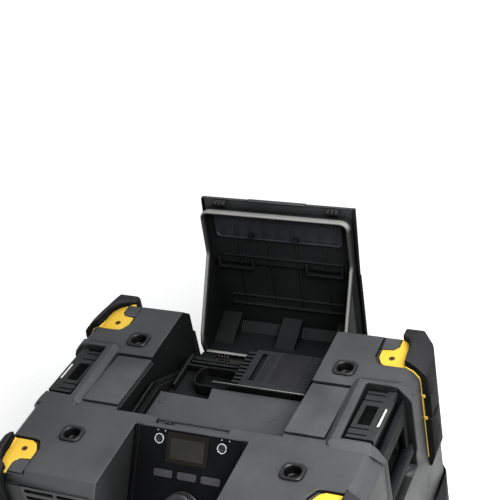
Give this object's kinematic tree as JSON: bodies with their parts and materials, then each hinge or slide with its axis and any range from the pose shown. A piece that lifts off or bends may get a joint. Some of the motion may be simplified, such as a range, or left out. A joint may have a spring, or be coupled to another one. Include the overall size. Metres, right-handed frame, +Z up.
{
  "type": "jobsite radio",
  "caption": "Stackable jobsite radio with yellow corner brackets, rubber bumpers, folding side handles, a sloping control panel and a hinged sealed lid over a charging compartment.",
  "frame": {"origin": "on the floor, midway between the four stacking feet", "axes": "+Z up, +X to the right seen from the control panel, +Y to the rear, towards the lid hinge"},
  "size_m": [0.542, 0.5045, 0.4671],
  "materials": {
    "housing_plastic": "satin moulded, light texture",
    "pan_plastic": "satin moulded",
    "tub_plastic": "satin moulded",
    "tray_plastic": "satin moulded",
    "label_plastic": "smooth bare panel",
    "deck_plastic": "satin moulded",
    "socket_plastic": "smooth",
    "bumper_rubber": "soft, fine texture",
    "yellow_plastic": "satin",
    "dark_screw": "dark zinc",
    "bright_steel": "bright",
    "gloss_black": "gloss",
    "display_tint": "gloss window",
    "display_glass": "liquid crystal cell",
    "board_green": "laminate",
    "grille_plastic": "satin moulded",
    "basket_steel": "black paint",
    "cone_paper": "woven",
    "magnet_iron": "plain",
    "supply_parts": "transformer and capacitors",
    "catch_rubber": "soft",
    "lid_plastic": "satin moulded",
    "liner_plastic": "satin moulded",
    "gasket_rubber": "warm grey foam rubber",
    "lid_panel_plastic": "ribbed",
    "knob_plastic": "satin",
    "ring_white": "white ring on a dark key",
    "button_plastic": "satin",
    "handle_plastic": "satin moulded"
  },
  "bodies": {
    "housing": {"base_pan": "pan_plastic", "upper_housing": "housing_plastic", "socket_rail_left": "housing_plastic", "socket_rail_right": "housing_plastic", "side_pod_left": "housing_plastic", "side_pod_right": "housing_plastic", "rear_cover": "housing_plastic", "compartment_tub": "tub_plastic", "tray_plate": "tray_plastic", "battery_pocket": "tub_plastic", "charger_housing": "tub_plastic", "charger_plate": "label_plastic", "charger_terminals": "bright_steel", "deck_inlay_left": "deck_plastic", "deck_inlay_right": "deck_plastic", "socket_inserts": "socket_plastic", "bumper_rear_left": "bumper_rubber", "bumper_rear_right": "bumper_rubber", "bumper_front_left": "bumper_rubber", "bumper_front_right": "bumper_rubber", "lower_bumpers": "bumper_rubber", "corner_brackets": "yellow_plastic", "bracket_blocks": "tray_plastic", "bracket_screws": "dark_screw", "bumper_screws": "dark_screw", "striker_plate_left": "deck_plastic", "striker_plate_right": "deck_plastic", "striker_rods": "bright_steel", "control_panel": "gloss_black", "display_window": "display_tint", "display_module": "display_glass", "control_board": "board_green", "speaker_grilles": "grille_plastic", "speaker_baskets": "basket_steel", "speaker_cones": "cone_paper", "speaker_magnets": "magnet_iron", "main_board": "board_green", "power_supply": "supply_parts", "mains_inlet": "socket_plastic", "housing_screws": "dark_screw", "stacking_feet": "bumper_rubber", "lid_keeper": "catch_rubber", "lid_hinge_pin": "bright_steel", "handle_pins": "bright_steel"},
    "lid": {"lid_cover": "lid_plastic", "lid_liner": "liner_plastic", "lid_gasket": "gasket_rubber", "lid_inner_panel": "lid_panel_plastic", "lid_brackets": "liner_plastic", "lid_catches": "catch_rubber"},
    "volume_knob": {"volume_knob": "knob_plastic"},
    "power_button": {"power_button": "ring_white"},
    "source_button": {"source_button": "ring_white"},
    "preset_button_1": {"preset_button_1": "button_plastic"},
    "preset_button_2": {"preset_button_2": "button_plastic"},
    "preset_button_3": {"preset_button_3": "button_plastic"},
    "side_handle_left": {"side_handle_left": "handle_plastic"},
    "side_handle_right": {"side_handle_right": "handle_plastic"},
    "side_latch_left": {"side_latch_left": "yellow_plastic"},
    "side_latch_right": {"side_latch_right": "yellow_plastic"}
  },
  "joints": [
    {"name": "lid_hinge", "type": "hinge", "parent": "housing", "child": "lid", "pos_m": [0, 0.189, 0.243], "axis": [1, 0, 0], "range_deg": [0, 94]},
    {"name": "volume_turn", "type": "hinge", "parent": "housing", "child": "volume_knob", "pos_m": [0.001, -0.1302, 0.25955], "axis": [0, -0.788, 0.6157], "continuous": true},
    {"name": "power_button_press", "type": "slide", "parent": "housing", "child": "power_button", "axis": [0, 0.788, -0.6157], "range_m": [0, 0.001], "stiffness_N_per_m": 400, "springref_m": -0.0006},
    {"name": "source_button_press", "type": "slide", "parent": "housing", "child": "source_button", "axis": [0, 0.788, -0.6157], "range_m": [0, 0.001], "stiffness_N_per_m": 400, "springref_m": -0.0006},
    {"name": "preset_button_1_press", "type": "slide", "parent": "housing", "child": "preset_button_1", "axis": [0, 0.788, -0.6157], "range_m": [0, 0.001], "stiffness_N_per_m": 400, "springref_m": -0.0006},
    {"name": "preset_button_2_press", "type": "slide", "parent": "housing", "child": "preset_button_2", "axis": [0, 0.788, -0.6157], "range_m": [0, 0.001], "stiffness_N_per_m": 400, "springref_m": -0.0006},
    {"name": "preset_button_3_press", "type": "slide", "parent": "housing", "child": "preset_button_3", "axis": [0, 0.788, -0.6157], "range_m": [0, 0.001], "stiffness_N_per_m": 400, "springref_m": -0.0006},
    {"name": "side_handle_left_fold", "type": "hinge", "parent": "housing", "child": "side_handle_left", "pos_m": [-0.2465, 0.02, 0.3155], "axis": [0, 1, 0], "range_deg": [0, 90]},
    {"name": "side_handle_right_fold", "type": "hinge", "parent": "housing", "child": "side_handle_right", "pos_m": [0.2465, 0.02, 0.3155], "axis": [0, -1, 0], "range_deg": [0, 90]},
    {"name": "side_latch_left_press", "type": "hinge", "parent": "housing", "child": "side_latch_left", "pos_m": [-0.2495, 0, 0.05], "axis": [0, 1, 0], "range_deg": [0, 8], "stiffness_Nm_per_rad": 0.5, "springref_deg": -11.46},
    {"name": "side_latch_right_press", "type": "hinge", "parent": "housing", "child": "side_latch_right", "pos_m": [0.2495, 0, 0.05], "axis": [0, -1, 0], "range_deg": [0, 8], "stiffness_Nm_per_rad": 0.5, "springref_deg": -11.46}
  ]
}
